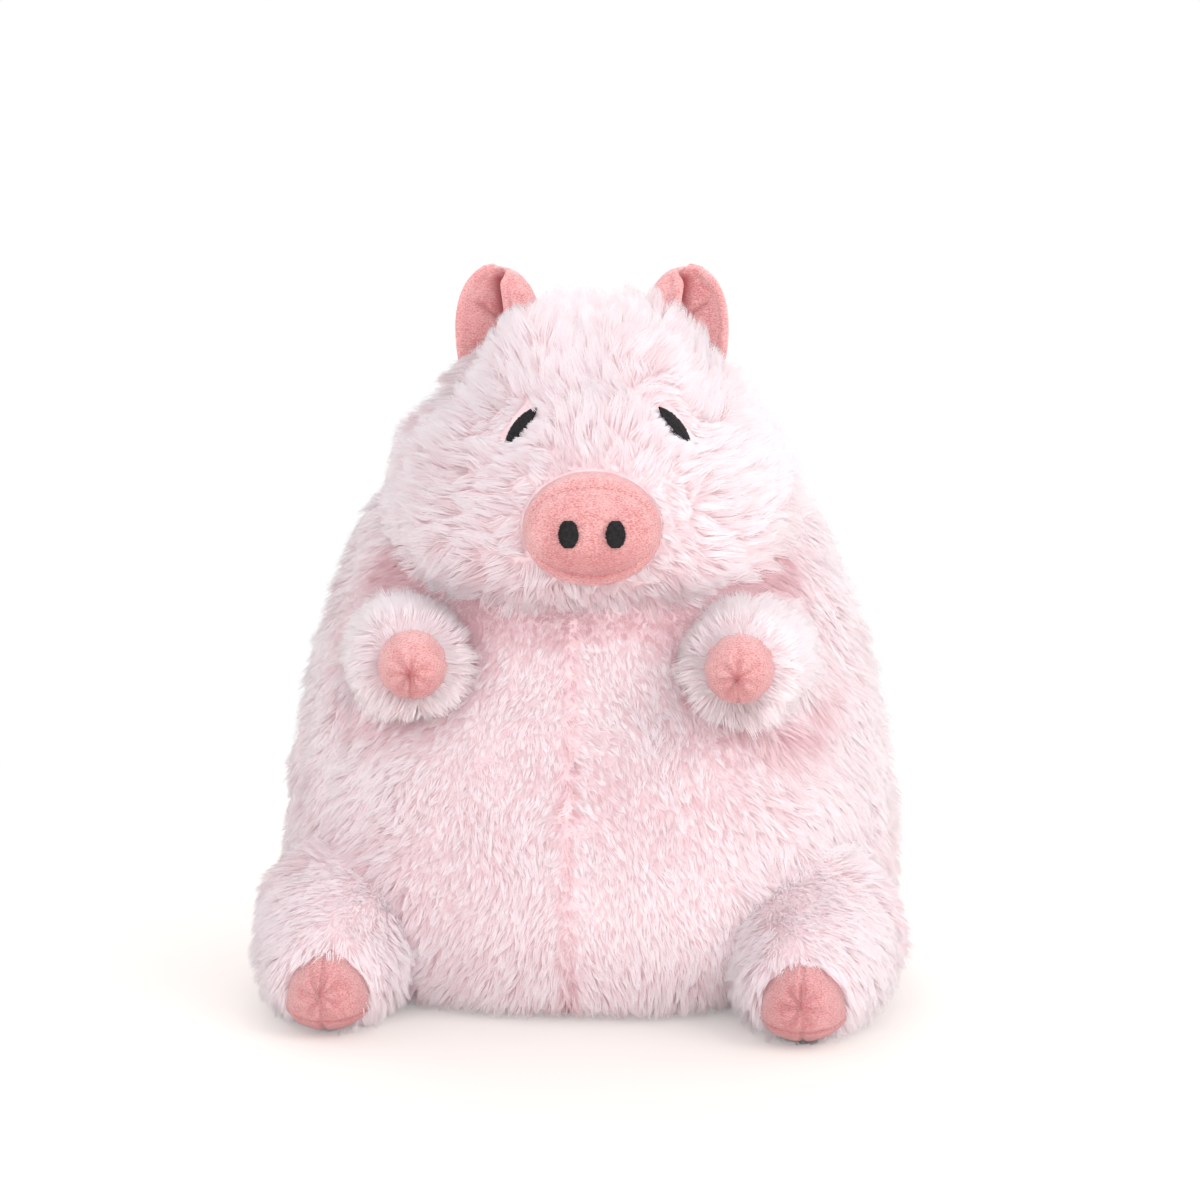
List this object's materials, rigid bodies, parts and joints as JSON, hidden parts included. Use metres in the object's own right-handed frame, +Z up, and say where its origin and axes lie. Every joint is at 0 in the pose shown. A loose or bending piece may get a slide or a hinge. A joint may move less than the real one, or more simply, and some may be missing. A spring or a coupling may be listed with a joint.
{
  "type": "plush pig",
  "caption": "Seated stuffed pig soft toy with a long-pile body and head and short-pile ears, snout, hooves and curled tail; limbs, ears and tail flex on their seams.",
  "frame": {"origin": "centre of the flat seat face under the body", "axes": "+Z up, -Y the way the pig faces, +X to the right in the picture (the pig's own left)"},
  "size_m": [0.2392, 0.2535, 0.2812],
  "materials": {
    "long_pile_plush": "long-pile faux fur, pale pink with whiter tips",
    "short_pile_minky": "short-pile velour, coral pink",
    "embroidery_thread": "charcoal satin stitch, slight sheen",
    "polyester_fibre": "loose white fibre filling",
    "pellet_bag_cloth": "plain woven cotton pouch"
  },
  "bodies": {
    "torso": {"belly_panel_left": "long_pile_plush", "belly_panel_right": "long_pile_plush", "back_panel_left": "long_pile_plush", "back_panel_right": "long_pile_plush", "base_panel": "long_pile_plush", "body_stuffing": "polyester_fibre", "pellet_bag": "pellet_bag_cloth", "face_panel_left": "long_pile_plush", "face_panel_right": "long_pile_plush", "head_back_left": "long_pile_plush", "head_back_right": "long_pile_plush", "head_stuffing": "polyester_fibre", "snout_band": "short_pile_minky", "snout_face": "short_pile_minky", "snout_stuffing": "polyester_fibre", "nostril_left": "embroidery_thread", "nostril_right": "embroidery_thread", "eye_left": "embroidery_thread", "eye_right": "embroidery_thread"},
    "arm_left": {"arm_left_sleeve": "long_pile_plush", "arm_left_hoof": "short_pile_minky", "arm_left_stuffing": "polyester_fibre"},
    "arm_right": {"arm_right_sleeve": "long_pile_plush", "arm_right_hoof": "short_pile_minky", "arm_right_stuffing": "polyester_fibre"},
    "leg_left": {"leg_left_sleeve": "long_pile_plush", "leg_left_hoof": "short_pile_minky", "leg_left_stuffing": "polyester_fibre"},
    "leg_right": {"leg_right_sleeve": "long_pile_plush", "leg_right_hoof": "short_pile_minky", "leg_right_stuffing": "polyester_fibre"},
    "ear_left": {"ear_left_back": "short_pile_minky", "ear_left_lining": "short_pile_minky"},
    "ear_right": {"ear_right_back": "short_pile_minky", "ear_right_lining": "short_pile_minky"},
    "tail": {"tail_cover": "short_pile_minky"}
  },
  "joints": [
    {"name": "arm_left_swing", "type": "hinge", "parent": "torso", "child": "arm_left", "pos_m": [-0.064, -0.06249, 0.1358], "axis": [-1, 0, 0], "range_deg": [-15, 15], "stiffness_Nm_per_rad": 0.12},
    {"name": "arm_right_swing", "type": "hinge", "parent": "torso", "child": "arm_right", "pos_m": [0.064, -0.06249, 0.1358], "axis": [-1, 0, 0], "range_deg": [-15, 15], "stiffness_Nm_per_rad": 0.12},
    {"name": "leg_left_lift", "type": "hinge", "parent": "torso", "child": "leg_left", "pos_m": [-0.089, -0.06198, 0.03], "axis": [-1, 0, 0], "range_deg": [0, 20], "stiffness_Nm_per_rad": 0.3},
    {"name": "leg_right_lift", "type": "hinge", "parent": "torso", "child": "leg_right", "pos_m": [0.089, -0.06198, 0.03], "axis": [-1, 0, 0], "range_deg": [0, 20], "stiffness_Nm_per_rad": 0.3},
    {"name": "ear_left_flop", "type": "hinge", "parent": "torso", "child": "ear_left", "pos_m": [-0.0356, -0.00324, 0.24865], "axis": [0.9704, 0.0883, 0.225], "range_deg": [-15, 30], "stiffness_Nm_per_rad": 0.02},
    {"name": "ear_right_flop", "type": "hinge", "parent": "torso", "child": "ear_right", "pos_m": [0.0356, 0.00324, 0.24865], "axis": [0.9704, 0.0883, -0.225], "range_deg": [-15, 30], "stiffness_Nm_per_rad": 0.02},
    {"name": "tail_flick", "type": "hinge", "parent": "torso", "child": "tail", "pos_m": [0, 0.10358, 0.06], "axis": [1, 0, 0], "range_deg": [-18, 18], "stiffness_Nm_per_rad": 0.02}
  ]
}
